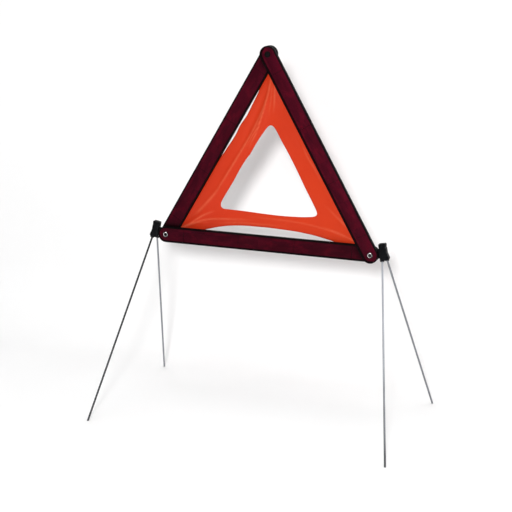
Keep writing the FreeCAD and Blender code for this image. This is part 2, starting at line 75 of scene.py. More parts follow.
# ------------------------------------------------------------------ node helpers
def scaled(colour, factor, lift=0.0):
    return tuple(c * factor + lift for c in colour)


class Mat:
    """A material with short calls for the shader nodes used below.

    Any value may be a constant or the output socket of another node."""

    def __init__(self, name):
        self.material = bpy.data.materials.new(name)
        self.material.use_nodes = True
        self.tree = self.material.node_tree
        self.tree.nodes.clear()
        self.surface = self.node("OutputMaterial").inputs["Surface"]
        self.bsdf = self.node("BsdfPrincipled")
        self.feed(self.surface, self.bsdf.outputs[0])
        self.place = self.node("TexCoord").outputs["Object"]

    def feed(self, socket, value):
        """Link an output to the socket, or set the socket to a constant."""
        if isinstance(value, bpy.types.NodeSocket):
            self.tree.links.new(value, socket)
        elif socket.type == "RGBA":
            socket.default_value = (*value, 1)
        else:
            socket.default_value = value

    def node(self, kind, feeds=None, **props):
        made = self.tree.nodes.new("ShaderNode" + kind)
        for key, value in props.items():
            setattr(made, key, value)
        for key, value in (feeds or {}).items():
            self.feed(made.inputs[key], value)
        return made

    def shade(self, **values):
        """Feed the Principled shader; underscores stand for spaces."""
        for key, value in values.items():
            self.feed(self.bsdf.inputs[key.replace("_", " ")], value)

    def mapping(self, scale=(1, 1, 1), rotation=(0, 0, 0), location=(0, 0, 0), source=None):
        feeds = {"Scale": scale, "Rotation": rotation, "Location": location,
                 "Vector": source or self.place}
        return self.node("Mapping", feeds).outputs["Vector"]

    def noise(self, scale, detail=3.0, rough=0.5, vector=None):
        feeds = {"Scale": scale, "Detail": detail, "Roughness": rough,
                 "Vector": vector or self.place}
        return self.node("TexNoise", feeds).outputs["Fac"]

    def math(self, operation, *values):
        return self.node("Math", dict(enumerate(values)), operation=operation).outputs[0]

    def vector(self, operation, *values):
        return self.node("VectorMath", dict(enumerate(values)), operation=operation)

    def split(self, vector=None):
        """The X and Z parts of a vector."""
        parts = self.node("SeparateXYZ", {0: vector or self.place}).outputs
        return parts["X"], parts["Z"]

    def zigzag(self, value, period):
        """Triangle wave between 0 and 0.5, at 0 on every multiple of the period."""
        return self.math("PINGPONG", self.math("DIVIDE", value, period), 0.5)

    def remap(self, value, over=(0.0, 1.0), to=(0.0, 1.0)):
        feeds = {1: over[0], 2: over[1], 3: to[0], 4: to[1], 0: value}
        return self.node("MapRange", feeds).outputs[0]

    def add(self, value, mask, amount):
        return self.math("ADD", value, self.math("MULTIPLY", mask, amount))

    def tint(self, colour, other, mask, amount=None):
        """Blend toward the other colour where the mask is 1, by the given amount."""
        if amount is not None:
            mask = self.math("MULTIPLY", mask, amount)
        return self.node("Mix", {0: mask, 6: colour, 7: other}, data_type="RGBA").outputs[2]

    def bump(self, height, strength, distance, normal=None):
        feeds = {"Strength": strength, "Distance": distance, "Height": height}
        if normal is not None:
            feeds["Normal"] = normal
        return self.node("Bump", feeds).outputs["Normal"]


# ------------------------------------------------------------------ materials
def moulded_plastic(name, base, worn, rough, spec, grain_scale=1400.0, grain=0.12):
    """Moulded plastic: fine grain, cloudy gloss, scuffed edges and light scratches."""
    m = Mat(name)
    cloud = m.noise(scale=38.0, detail=5.0, rough=0.6)
    fine = m.noise(scale=grain_scale, detail=2.0, rough=0.6)
    streaks = m.noise(scale=260.0, detail=4.0, rough=0.7,
                      vector=m.mapping(scale=(0.18, 1.0, 3.0), rotation=(0.3, 0.7, 0.2)))
    scratch = m.remap(streaks, over=(0.60, 0.66))
    # pointiness: 0 on flats, toward 1 on outward edges
    pointiness = m.node("NewGeometry").outputs["Pointiness"]
    edge = m.math("MULTIPLY", m.remap(pointiness, over=(0.505, 0.56)),
                  m.remap(m.noise(scale=420.0, detail=3.0, rough=0.6), over=(0.40, 0.62)))

    colour = m.tint(base, scaled(base, factor=1.35, lift=0.002),
                    m.remap(cloud, over=(0.35, 0.7), to=(0.0, 0.55)))
    colour = m.tint(colour, worn, edge, amount=0.55)
    colour = m.tint(colour, scaled(base, factor=3, lift=0.04), scratch, amount=0.05)

    roughness = m.remap(cloud, over=(0.3, 0.75), to=(rough - 0.05, rough + 0.10))
    roughness = m.add(roughness, edge, amount=0.08)
    roughness = m.add(roughness, scratch, amount=0.06)

    grained = m.bump(fine, strength=grain, distance=0.0002)
    m.shade(Base_Color=colour, Roughness=roughness,
            Normal=m.bump(streaks, strength=0.05, distance=0.0002, normal=grained),
            Coat_Roughness=0.15, Specular_IOR_Level=spec)
    return m.material


def metal(name, base, rough, along, spots, bore_shade=None, foot_shade_height=None):
    """Brushed metal with uneven plating and dull spots.

    along scales the brushing noise per axis. bore is the centre and radius of the hollow
    along Y, round which the metal is darkened as painted shade. foot is the height
    below which the metal darkens, a painted shade."""
    m = Mat(name)
    brush = m.noise(scale=900.0, detail=4.0, rough=0.65, vector=m.mapping(scale=along))
    cloud = m.noise(scale=55.0, detail=5.0, rough=0.6)
    spot = m.remap(m.noise(scale=330.0, detail=4.0, rough=0.7),
                   over=(0.60, 0.72), to=(0.0, spots))
    colour = m.tint(base, scaled(base, factor=0.72),
                    m.remap(cloud, over=(0.3, 0.7), to=(0.0, 0.6)))
    colour = m.tint(colour, scaled(base, factor=0.6),
                    m.remap(brush, over=(0.35, 0.65)), amount=0.25)
    colour = m.tint(colour, (0.10, 0.09, 0.085), spot)
    roughness = m.add(m.remap(brush, over=(0.3, 0.7), to=(rough - 0.05, rough + 0.10)),
                      spot, amount=0.5)
    # painted shade: the wire darkens toward its foot
    if foot_shade_height is not None:
        height = m.split()[1]
        colour = m.tint(colour, scaled(base, factor=0.07),
                        m.remap(height, over=(0.0, foot_shade_height), to=(1.0, 0.0)))
    # painted shade of the hollow bore, reaching over the head's inner edge and set off to one
    # side
    if bore_shade is not None:
        middle, radius = bore_shade
        offset = m.vector("SUBTRACT", m.place, middle).outputs[0]
        flat = m.vector("MULTIPLY", offset, (1, 0, 1)).outputs[0]
        distance = m.vector("LENGTH", flat).outputs["Value"]
        bore_shade_mask = m.remap(distance, over=(radius * 1.15, radius * 1.42), to=(1.0, 0.0))
        colour = m.tint(colour, (0.012, 0.010, 0.011), bore_shade_mask)
        roughness = m.add(roughness, bore_shade_mask, amount=0.35)
    m.shade(Base_Color=colour, Roughness=roughness,
            Normal=m.bump(brush, strength=0.16, distance=0.00015), Metallic=1.0)
    return m.material


BAR_LENGTH = 0.405         # pivot to pivot
CUBE_SIZE = 0.0026         # period of the corner cubes
FIELD_LENGTH = 0.0268      # moulded fields, along the bar
FIELD_WIDTH = 0.00893      # and across it
FIELD_SHIFT = 0.1          # keeps the across value positive
TILT_REACH = 0.0128        # distance off the axis at which `across` is reached
RIM_FADE = 0.8             # mm over which the black margin sets in


def corner_cubes(m, x, z):
    """Three crossed triangle waves: their highest value, and the grooves between cubes."""

    def wave(part_x, part_z):
        across = m.math("ADD", m.math("MULTIPLY", x, part_x / CUBE_SIZE),
                        m.math("MULTIPLY", z, part_z / CUBE_SIZE))
        return m.math("PINGPONG", across, 0.5)

    first, second, third = wave(1.0, 0.0), wave(0.5, 0.8660), wave(0.5, -0.8660)
    cube = m.math("MAXIMUM", first, m.math("MAXIMUM", second, third))
    groove = m.math("MINIMUM", first, m.math("MINIMUM", second, third))
    return cube, groove


def moulded_fields(m, x, z):
    """A random value for each rectangular field, and the lines between the fields."""
    column = m.math("FLOOR", m.math("DIVIDE", x, FIELD_LENGTH))
    row = m.math("FLOOR", m.math("DIVIDE", m.math("ADD", z, FIELD_SHIFT), FIELD_WIDTH))
    cell = m.node("CombineXYZ", {0: column, 2: row}).outputs[0]
    field = m.node("TexWhiteNoise", {"Vector": cell}, noise_dimensions="3D").outputs["Value"]
    line_x = m.remap(m.zigzag(x, period=FIELD_LENGTH), over=(0.0, 0.012), to=(1.0, 0.0))
    line_z = m.remap(m.zigzag(m.math("ADD", z, FIELD_SHIFT), period=FIELD_WIDTH),
                     over=(0.0, 0.03), to=(1.0, 0.0))
    return field, m.math("MAXIMUM", line_x, m.math("MULTIPLY", line_z, 0.6))


def black_margin(m, colour, x, z, border):
    """Blacken the rim beyond the border distance from the bar's axis."""
    half = BAR_LENGTH / 2
    from_middle = m.math("ABSOLUTE", m.math("SUBTRACT", x, half))
    beyond = m.math("MAXIMUM", m.math("SUBTRACT", from_middle, half), 0.0)
    distance = m.math("SQRT", m.math("ADD", m.math("MULTIPLY", beyond, beyond),
                                     m.math("MULTIPLY", z, z)))
    for sign, start in zip((-1.0, 1.0), border):
        side = m.remap(m.math("MULTIPLY", z, sign), over=(-0.0005, 0.0005))
        rim = m.remap(distance, over=(start * MM, (start + RIM_FADE) * MM), to=(0.0, 0.92))
        colour = m.tint(colour, (0.0026, 0.0008, 0.0012), side, amount=rim)
    return colour


def reflector(name, pivot, degrees, painted_light_gain, border, along=0.0, across=0.0):
    """Red retroreflector: small corner cubes under a smooth clear front.

    pivot is on the bar's axis and degrees is the bar's angle in the XZ plane, so the
    pattern follows the bar. gain scales the reds: a painted difference in how brightly each
    bar is lit. border is where the black margin starts, in mm from the axis, on the local
    -z and +z sides. along and across are how much painted light raises or lowers the
    brightness from end to end and from the axis outward."""
    m = Mat(name)
    from_pivot = m.vector("SUBTRACT", m.place, tuple(pivot)).outputs[0]
    local = m.mapping(rotation=(0, math.radians(degrees), 0), source=from_pivot)
    x, z = m.split(local)                            # x along the bar, z across it
    cube, groove = corner_cubes(m, x, z)
    field, line = moulded_fields(m, x, z)
    cloud = m.noise(scale=26.0, detail=4.0, rough=0.55)

    deep = scaled((0.021, 0.0011, 0.0042), painted_light_gain)
    middle = scaled((0.038, 0.0016, 0.0070), painted_light_gain)
    lit = scaled((0.092, 0.0028, 0.0100), painted_light_gain)
    colour = m.tint(deep, middle, m.remap(cube, over=(0.20, 0.5)))
    colour = m.tint(colour, lit, m.remap(field), amount=0.38)
    colour = m.tint(colour, (0.02, 0.001, 0.003),
                    m.remap(groove, over=(0.0, 0.05), to=(1.0, 0.0)), amount=0.22)
    colour = m.tint(colour, deep, m.remap(cloud, over=(0.35, 0.7)), amount=0.30)
    colour = m.tint(colour, (0.016, 0.0010, 0.003), line, amount=0.25)

    # painted light: the brightness is scaled up or down along the bar and across it
    from_middle = m.math("SUBTRACT", x, BAR_LENGTH / 2)
    painted_light_slope = m.math("ADD", m.math("MULTIPLY", from_middle, along / BAR_LENGTH),
                  m.math("MULTIPLY", z, across / TILT_REACH))
    painted_light_scale = m.node("VectorMath", {0: colour, "Scale": m.math("ADD", painted_light_slope, 1.0)},
                   operation="SCALE")
    colour = painted_light_scale.outputs[0]

    # long patches of deeper and of brighter red
    patch = m.noise(scale=1.0, detail=3.0, rough=0.6,
                    vector=m.mapping(scale=(24.0, 1.0, 70.0), source=local))
    colour = m.tint(colour, scaled((0.034, 0.0016, 0.0064), painted_light_gain * 0.62),
                    m.remap(patch, over=(0.42, 0.62), to=(0.0, 0.55)))
    glow = m.noise(scale=1.0, detail=3.0, rough=0.6,
                   vector=m.mapping(scale=(34.0, 1.0, 62.0), location=(5.3, 0.0, 2.1),
                                    source=local))
    colour = m.tint(colour, scaled((0.090, 0.0020, 0.0085), painted_light_gain),
                    m.remap(glow, over=(0.52, 0.72), to=(0.0, 0.45)))

    colour = black_margin(m, colour, x, z, border)
    # shade where a neighbouring piece stands close
    openness = m.node("AmbientOcclusion", {"Distance": 0.016}, samples=8).outputs["AO"]
    colour = m.tint(colour, (0.0040, 0.0010, 0.0018),
                    m.remap(openness, over=(0.58, 0.94), to=(1.0, 0.0)), amount=0.90)

    m.shade(Base_Color=colour, Roughness=m.remap(field, to=(0.34, 0.5)))
    relief = m.add(cube, line, amount=-0.8)
    m.shade(Normal=m.bump(relief, strength=0.35, distance=0.0006))
    ripple = m.noise(scale=90.0, detail=3.0, rough=0.5)
    m.shade(Coat_Normal=m.bump(ripple, strength=0.04, distance=0.0004))
    haze = m.noise(scale=150.0, detail=4.0, rough=0.6)
    m.shade(Coat_Roughness=m.remap(haze, over=(0.3, 0.75), to=(0.08, 0.22)),
            Specular_IOR_Level=0.015, Coat_Weight=0.022, Coat_IOR=1.40)
    return m.material


def film_material():
    """Fluorescent film: saturated orange-red, satin sheen, fine weave, painted highlights on the
    crease crests, and a weak painted glow.
    """
    weave_pitch = 0.0009
    m = Mat("film_fluorescent")
    x, z = m.split()
    cloud = m.noise(scale=16.0, detail=5.0, rough=0.55)
    # from the left tone to the right tone
    colour = m.tint((0.488, 0.0300, 0.0085), (0.520, 0.0352, 0.0070),
                    m.remap(x, over=(-0.16, 0.12)))
    colour = m.tint(colour, (0.445, 0.0250, 0.0070),
                    m.remap(cloud, over=(0.35, 0.7)), amount=0.35)
    # painted highlight along the crests of the creases, made patchy by noise
    crease_highlight = m.node("Attribute", attribute_name="crease_highlight").outputs["Fac"]
    highlight_patchiness = m.remap(m.noise(scale=120.0, detail=4.0, rough=0.65),
                   over=(0.3, 0.7), to=(0.55, 1.0))
    colour = m.tint(colour, (0.62, 0.112, 0.050), m.math("MULTIPLY", crease_highlight, highlight_patchiness),
                    amount=0.75)
    weave = m.math("MULTIPLY", m.zigzag(x, period=weave_pitch),
                   m.zigzag(z, period=weave_pitch))
    roughness = m.remap(cloud, over=(0.3, 0.7), to=(0.34, 0.46))
    fine = m.noise(scale=420.0, detail=3.0, rough=0.6)
    woven = m.bump(weave, strength=0.07, distance=0.0004)
    # the weak emission is a painted glow standing in for the film's fluorescence
    m.shade(Base_Color=colour, Roughness=roughness,
            Normal=m.bump(fine, strength=0.06, distance=0.0003, normal=woven),
            Emission_Color=colour, Emission_Strength=0.06, Specular_IOR_Level=0.10)
    return m.material


# ------------------------------------------------------------------ materials on the CAD pieces
def rivet_metal(side, pivot):
    # the painted shade of the bore is set 0.4 mm off the rivet's axis
    bore_shade_centre = pivot + Vector((0.0004, 0, 0))
    return metal("rivet_plated_" + side, base=(0.74, 0.72, 0.72), rough=0.16,
                 along=(1, 8, 1), spots=0.15, bore_shade=(tuple(bore_shade_centre), 0.0027))


def leg_wire(name):
    tone = LEG_PAINTED_TONES[name]
    return metal("wire_" + name, base=(tone, tone * 1.04, tone * 1.13), rough=0.32,
                 along=(2.2, 2.2, 0.12), spots=0.3,
                 foot_shade_height=0.22 if name == "right_front_leg" else None)


# by the ending of the piece's name
SHARED = {
    "_housing": moulded_plastic(
        "housing_plastic", base=(0.0020, 0.0010, 0.0013), worn=(0.011, 0.007, 0.008),
        rough=0.36, spec=0.02),
    "_leg_bracket": moulded_plastic(
        "bracket_plastic", base=(0.0022, 0.0025, 0.0032), worn=(0.018, 0.019, 0.022),
        rough=0.42, spec=0.04, grain_scale=1100.0, grain=0.22),
    "apex_stud": moulded_plastic(
        "stud_plastic", base=(0.0028, 0.0020, 0.0023), worn=(0.016, 0.013, 0.014),
        rough=0.34, spec=0.04),
    "apex_snap_bush": moulded_plastic(
        "bush_plastic", base=(0.0030, 0.0030, 0.0032), worn=(0.018, 0.018, 0.019),
        rough=0.40, spec=0.04),
}
RIVETS = {"left": rivet_metal("left", left_pivot), "right": rivet_metal("right", right_pivot)}
SHARED["_film_eyelet"] = metal("eyelet_plated", base=(0.62, 0.61, 0.60), rough=0.26,
                               along=(6, 1, 6), spots=0.25)
SHARED["_leg_pin"] = metal("pin_steel", base=(0.50, 0.50, 0.51), rough=0.26,
                           along=(0.4, 5, 5), spots=0.2)
# gain: each bar's copy of the reflector is painted brighter or darker for how it catches the
# light
LENSES = {
    "base_lens": dict(name="reflector_base", pivot=left_pivot, degrees=0, painted_light_gain=0.96,
                      border=(10.8, 11.7), along=-0.28),
    "left_arm_lens": dict(name="reflector_left", pivot=left_pivot, degrees=60, painted_light_gain=1.13,
                          border=(11.7, 12.05), along=0.22),
    "right_arm_lens": dict(name="reflector_right", pivot=right_pivot, degrees=120, painted_light_gain=1.38,
                           border=(12.4, 10.0), across=-0.20),
}
# brightness of each leg's wire; the wires are one steel, so these differences are painted light
LEG_PAINTED_TONES = {"left_front_leg": 0.045, "left_rear_leg": 0.33,
             "right_front_leg": 0.70, "right_rear_leg": 0.27}


def material_for(name):
    if name.endswith("_rivet"):
        return RIVETS[name.split("_")[0]]
    if name in LENSES:
        return reflector(**LENSES[name])
    if name.endswith("_leg"):
        return leg_wire(name)
    for ending, material in SHARED.items():
        if name.endswith(ending):
            return material
    return None


for name in NODES:
    material = material_for(name)
    if material is not None:
        slots = NODES[name].data.materials
        slots.clear()
        slots.append(material)

# ------------------------------------------------------------------ warning film: outline
# The film is laid out in millimetres: origin at the left eyelet, x toward the right
# eyelet, z up. Depth is measured rearward.
right_way = (right_eye - left_eye).normalized()
up_way = Vector((0, 0, 1))
rear_way = up_way.cross(right_way).normalized()
span = (right_eye - left_eye).length / MM
apex_x = (apex_eye - left_eye).dot(right_way) / MM
apex_z = (apex_eye - left_eye).dot(up_way) / MM
EYES = ((0, 0), (span, 0), (apex_x, apex_z))

STEP = 2.6                 # spacing of points along the edges
GRID = STEP * 0.92         # spacing of points inside
LEAST_GAP = 1.2            # edge points closer than this are dropped
TAB = 8.6                  # radius of the film's corners round the eyelets
HOLE_RADIUS = 3.9
THICKNESS = 0.35

# x, z along the bottom edge
LOW_EDGE = [
    (0, -TAB), (28, -2.5), (54, 6.5), (76, 13.0), (103, 20.6), (125, 24.8), (158, 27.6),
    (185, 28.2), (212, 28.2), (238, 27.2), (265, 25.6), (291, 22.6), (312, 18.6),
    (333, 13.6), (358, 5.8), (383, -2.6), (span, -TAB)]
# distance up along the bar's axis, distance inward from it
RIGHT_EDGE = [
    (0, -TAB), (40, -1.5), (90, 3.8), (150, 7.2), (202, 8.2), (260, 6.8), (315, 3.4),
    (365, -2.0), (405, -TAB)]
LEFT_EDGE = [
    (0, -TAB), (40, -3.0), (90, 3.6), (135, 8.6), (165, 12.2), (182, 14.0), (197, 15.6),
    (214, 16.8), (228, 17.9), (243, 18.2), (258, 17.0), (270, 17.7), (283, 18.8),
    (298, 17.9), (312, 16.9), (328, 15.9), (342, 13.8), (362, 8.2), (385, -0.3), (405, -TAB)]
# x, z round the opening in the middle
WINDOW = [
    (117, 56.4), (147, 55.8), (185, 54.4), (225, 53.4), (262, 54.4), (283, 56.2),
    (293, 58.2), (297.4, 62.0), (296.8, 68.0), (289.4, 82), (275, 107.6), (261, 133.2),
    (245, 162), (228.8, 189), (218.0, 207.4), (212.8, 215.2), (208.0, 219.6),
    (203.4, 220.2), (198.8, 217.0), (194.2, 211.0), (181.4, 192.2), (168.8, 171.0),
    (164.0, 162.4), (159.4, 157.4), (146.4, 137.0), (131, 108.5), (118, 86.8),
    (109.8, 72.6), (107.2, 66.0), (107.6, 60.4), (111.0, 57.2)]


def arc(eye, radius, start, end, count=9):
    """Points round an eyelet, angles in degrees, without the last one."""
    angles = [math.radians(start + (end - start) * i / count) for i in range(count)]
    return [(eye[0] + radius * math.cos(a), eye[1] + radius * math.sin(a)) for a in angles]


def from_left_bar(along, inward):
    return (along * COS_60 + inward * SIN_60, along * SIN_60 - inward * COS_60)


def from_right_bar(along, inward):
    return (span - along * COS_60 - inward * SIN_60, along * SIN_60 - inward * COS_60)


def catmull(points, step, closed=False):
    """Catmull-Rom curve through the points, divided to the given step."""
    knots = [np.array(p, float) for p in points]
    if closed:
        knots = [knots[-1]] + knots + [knots[0], knots[1]]
    else:
        knots = [2 * knots[0] - knots[1]] + knots + [2 * knots[-1] - knots[-2]]
    curve = []
    for i in range(1, len(knots) - 2):
        p0, p1, p2, p3 = knots[i - 1:i + 3]
        count = max(2, int(math.ceil(np.linalg.norm(p2 - p1) / step)))
        for k in range(count):
            t = k / count
            curve.append(0.5 * ((2 * p1) + (-p0 + p2) * t
                                + (2 * p0 - 5 * p1 + 4 * p2 - p3) * t * t
                                + (-p0 + 3 * p1 - 3 * p2 + p3) * t ** 3))
    if not closed:
        curve.append(knots[-2])
    return [tuple(p) for p in curve]


def thin_out(loop):
    kept = [loop[0]]
    for point in loop[1:]:
        if math.dist(point, kept[-1]) >= LEAST_GAP:
            kept.append(point)
    if math.dist(kept[0], kept[-1]) < LEAST_GAP:
        kept.pop()
    return kept


def film_outline():
    """Counter-clockwise from the left corner, as seen from the front."""
    low = catmull(LOW_EDGE, STEP)
    right = catmull([from_right_bar(*p) for p in RIGHT_EDGE], STEP)
    left = catmull([from_left_bar(*p) for p in LEFT_EDGE], STEP)[::-1]
    left_corner, right_corner, apex = EYES
    return (low[:-1] + arc(right_corner, TAB, -90, 30)
            + right[1:-1] + arc(apex, TAB, 30, 150)
            + left[1:-1] + arc(left_corner, TAB, 150, 270))


outline = thin_out(film_outline())
window = thin_out(catmull(WINDOW, STEP, closed=True))
eye_holes = [arc(eye, HOLE_RADIUS, 0, 360, 24) for eye in EYES]


# ------------------------------------------------------------------ warning film: flat triangles
def inside(loop, points):
    """Which points lie inside a closed loop, by counting crossings."""
    x, y = points[:, 0], points[:, 1]
    result = np.zeros(len(points), bool)
    p = np.array(loop)
    j = len(p) - 1
    for i in range(len(p)):
        slope_x = (p[j, 0] - p[i, 0]) * (y - p[i, 1]) / (p[j, 1] - p[i, 1] + 1e-12)
        result ^= ((p[i, 1] > y) != (p[j, 1] > y)) & (x < slope_x + p[i, 0])
        j = i
    return result


def near_loop(loop, points):
    """Distance of each point to a closed loop."""
    best = np.full(len(points), 1e9)
    p = np.array(loop)
    for a, b in zip(p, np.roll(p, -1, 0)):
        d = b - a
        t = np.clip(((points - a) @ d) / (d @ d), 0, 1)
        best = np.minimum(best, np.linalg.norm(points - a - t[:, None] * d, axis=1))
    return best


def on_film(points):
    result = inside(outline, points) & ~inside(window, points)
    for hole in eye_holes:
        result &= ~inside(hole, points)
    return result


def inner_points():
    """Staggered grid over the film, kept clear of its edges."""
    points = []
    for row in range(int((apex_z + 30) / (GRID * SIN_60))):
        z = -12 + row * GRID * SIN_60
        for column in range(int((span + 30) / GRID)):
            points.append((-14 + column * GRID + (GRID / 2 if row % 2 else 0), z))
    points = np.array(points)
    points = points[on_film(points)]
    clear = near_loop(outline, points) > GRID * 0.55
    clear &= near_loop(window, points) > GRID * 0.55
    for hole in eye_holes:
        clear &= near_loop(hole, points) > GRID * 0.4
    return points[clear]


def triangulate():
    points, edges = [], []
    for loop in [outline, window] + eye_holes:
        first = len(points)
        points += [Vector(p) for p in loop]
        edges += [(first + i, first + (i + 1) % len(loop)) for i in range(len(loop))]
    points += [Vector(p) for p in inner_points()]
    found, _, faces, *_ = geometry.delaunay_2d_cdt(points, edges, [], 0, 1e-5)
    flat = np.array([tuple(v) for v in found])
    triangles = np.array([f for f in faces if len(f) == 3])
    return flat, triangles[on_film(flat[triangles].mean(axis=1))]


# ------------------------------------------------------------------ warning film: relief
# points x, z; height toward the front; half width; fade-in and fade-out, as parts of the length
CREASES = [
    ([(206, 318), (202, 290), (191, 254), (172, 212), (149, 172), (125, 132), (102, 95),
      (80, 62)], 2.6, 4.2, 0.10, 0.28),
    ([(198, 296), (184, 258), (168, 222), (154, 190), (138, 160), (124, 136)],
     -1.5, 5.0, 0.15, 0.3),
    ([(200, 280), (190, 244), (176, 210), (152, 166)], 1.7, 2.3, 0.22, 0.35),
    ([(194, 256), (186, 228), (176, 202), (158, 166)], 2.0, 2.4, 0.22, 0.35),
    ([(213, 320), (213, 300), (212, 278), (211, 258), (208, 236)], 1.7, 3.2, 0.15, 0.4),
    ([(208, 304), (206, 278), (203, 256), (199, 232)], 1.0, 2.6, 0.25, 0.4),
    ([(217, 310), (222, 280), (226, 252), (228, 225)], -0.9, 4.5, 0.2, 0.5),
    ([(106, 98), (86, 74), (66, 52), (46, 33)], 1.5, 5.6, 0.35, 0.35),
    ([(14, 8), (40, 19), (61, 34), (78, 44), (100, 53)], 2.0, 3.2, 0.22, 0.30),
    ([(14, 11), (39, 27), (62, 48), (84, 71)], -1.2, 4.0, 0.3, 0.35),
    ([(14, 7), (45, 20), (68, 30), (100, 36), (146, 39), (190, 40)], 1.5, 3.6, 0.25, 0.45),
    ([(14, 8), (31, 15), (59, 25), (88, 28)], 1.1, 2.8, 0.3, 0.4),
    ([(91, 27), (140, 32), (197, 33.5), (248, 33.5)], 0.9, 4.2, 0.3, 0.4),
    ([(14, 14), (30, 36), (48, 66), (66, 98)], 1.3, 4.0, 0.25, 0.45),
    ([(150, 46), (205, 46), (262, 44), (300, 39), (332, 32), (370, 17)], 1.0, 3.2, 0.4, 0.2),
    ([(264, 44), (304, 41), (343, 28), (385, 8)], -1.0, 3.6, 0.4, 0.2),
    ([(391, 10), (352, 27), (325, 36), (304, 42)], 1.4, 2.8, 0.2, 0.4),
    ([(388, 16), (356, 44), (330, 66), (304, 88)], 1.2, 4.0, 0.2, 0.5),
    ([(262, 200), (275, 170), (293, 145), (308, 118)], 1.0, 4.0, 0.4, 0.4),
    ([(246, 214), (262, 186), (284, 150)], -0.8, 5.0, 0.4, 0.4),
]
CREASE_STEP = 4.0
# depth, size and noise seed of the general waviness
WAVES = ((1.5, 70.0, 3.1), (0.45, 24.0, 8.7), (0.12, 8.0, 5.2))
# loop, depth, size and noise seed of the curl along the free edges
CURLS = ((outline, 0.9, 40.0, 1.7), (window, 0.7, 36.0, 6.3))
CURL_REACH = 5.0


def along_line(line, points):
    """For each point: distance to the line, place along it from 0 to 1, and its side."""
    lengths = np.linalg.norm(np.diff(line, axis=0), axis=1)
    total = lengths.sum()
    best = np.full(len(points), 1e9)
    place = np.zeros(len(points))
    side = np.zeros(len(points))
    run = 0.0
    for a, b, length in zip(line[:-1], line[1:], lengths):
        d = (b - a) / length
        t = np.clip((points - a) @ d, 0, length)
        off = points - a - t[:, None] * d
        distance = np.linalg.norm(off, axis=1)
        hit = distance < best
        best[hit] = distance[hit]
        place[hit] = ((run + t) / total)[hit]
        side[hit] = np.sign(off[:, 0] * d[1] - off[:, 1] * d[0])[hit]
        run += length
    return best, place, side


def crease_fields(points):
    """Rearward offset from the creases, and the painted highlight along the crest of each
    crease.
    """
    depth, crest_highlight = np.zeros(len(points)), np.zeros(len(points))
    for line, height, width, fade_in, fade_out in CREASES:
        distance, place, side = along_line(np.array(catmull(line, CREASE_STEP)), points)
        taper = np.clip(place / fade_in, 0, 1) * np.clip((1 - place) / fade_out, 0, 1)
        taper = taper * taper * (3 - 2 * taper)
        taper *= np.exp(-(distance / (width * 6)) ** 2)
        # steep on one side, long on the other, with a rounded crest
        reach = np.where(side > 0, width * 0.75, width * 2.2)
        profile = 1.0 / (1.0 + (distance / reach) ** 2) - 0.06
        depth += -height * profile * taper
        # crests that stand toward the front get a painted highlight
        if height > 0:
            crest = np.exp(-(distance / (width * 0.42)) ** 2)
            crest_highlight += min(height / 1.8, 1.0) * crest * taper
    return depth, np.clip(crest_highlight, 0, 1)


def wobble(points, size, seed):
    return np.array([noise.noise(Vector((x / size, seed, z / size))) for x, z in points])


def film_depth(points):
    """Rearward offset of the film, and its painted highlight along the crease crests."""
    depth, crest_highlight = crease_fields(points)
    for amount, size, seed in WAVES:
        depth += amount * wobble(points, size, seed)
    for loop, amount, size, seed in CURLS:
        near = np.exp(-(near_loop(loop, points) / CURL_REACH) ** 2)
        depth += amount * near * wobble(points, size, seed)
    # held flat at the eyelets
    for x, z in EYES:
        radius = np.hypot(points[:, 0] - x, points[:, 1] - z)
        depth *= np.clip((radius - 7.0) / 26.0, 0, 1) ** 1.2
        crest_highlight *= np.clip((radius - 9.0) / 20.0, 0, 1)
    # beside the left bar, up to about 18.5 inward, it can only bulge rearward
    inward = points[:, 0] * SIN_60 - points[:, 1] * COS_60
    free = 1.0 / (1.0 + np.exp(-(inward - 18.5) / 1.6))
    depth = depth * free + np.where(depth < 0.0, 0.0, depth) * (1 - free)
    # the room between the base bar's back and the film shrinks toward the right
    room = np.maximum(9.6 - 10.0 * points[:, 0] / span, 0.0)
    depth = np.where(points[:, 1] < 20.0, np.maximum(depth, -room), depth)
    return depth, crest_highlight


# ------------------------------------------------------------------ warning film: mesh
def front_skin(bm, crease_highlight):
    """One skin of triangles, facing forward."""
    flat, triangles = triangulate()
    depths, crest_highlights = film_depth(flat)
    verts = []
    for (x, z), depth in zip(flat, depths):
        offset = right_way * x + up_way * z + rear_way * depth
        verts.append(bm.verts.new(left_eye + offset * MM))
    for vert, crest_highlight in zip(verts, crest_highlights):
        vert[crease_highlight] = float(crest_highlight)
    for triangle in triangles:
        bm.faces.new([verts[i] for i in triangle])
    for vert in [v for v in bm.verts if not v.link_faces]:
        bm.verts.remove(vert)
    bmesh.ops.recalc_face_normals(bm, faces=bm.faces)
    if sum(f.normal.y for f in bm.faces) > 0:
        bmesh.ops.reverse_faces(bm, faces=bm.faces)
    bm.normal_update()


def thicken(bm, crease_highlight):
    """Add a second skin behind the first, joined along every edge."""
    front = list(bm.faces)
    twin = {}
    for vert in list(bm.verts):
        back = bm.verts.new(vert.co - vert.normal * THICKNESS * MM)
        back[crease_highlight] = vert[crease_highlight]
        twin[vert] = back
    rims = [(e.verts[0], e.verts[1], e.link_loops[0].vert)
            for e in bm.edges if len(e.link_faces) == 1]
    for face in front:
        bm.faces.new([twin[v] for v in reversed(face.verts)])
    for a, b, first in rims:
        if first is not a:
            a, b = b, a
        bm.faces.new([b, a, twin[a], twin[b]])
    bmesh.ops.recalc_face_normals(bm, faces=bm.faces)


def add_mesh(name, mesh, bm):
    """Write a smooth-shaded mesh object into the scene."""
    bm.to_mesh(mesh)
    bm.free()
    for polygon in mesh.polygons:
        polygon.use_smooth = True
    made = bpy.data.objects.new(name, mesh)
    bpy.context.scene.collection.objects.link(made)
    return made


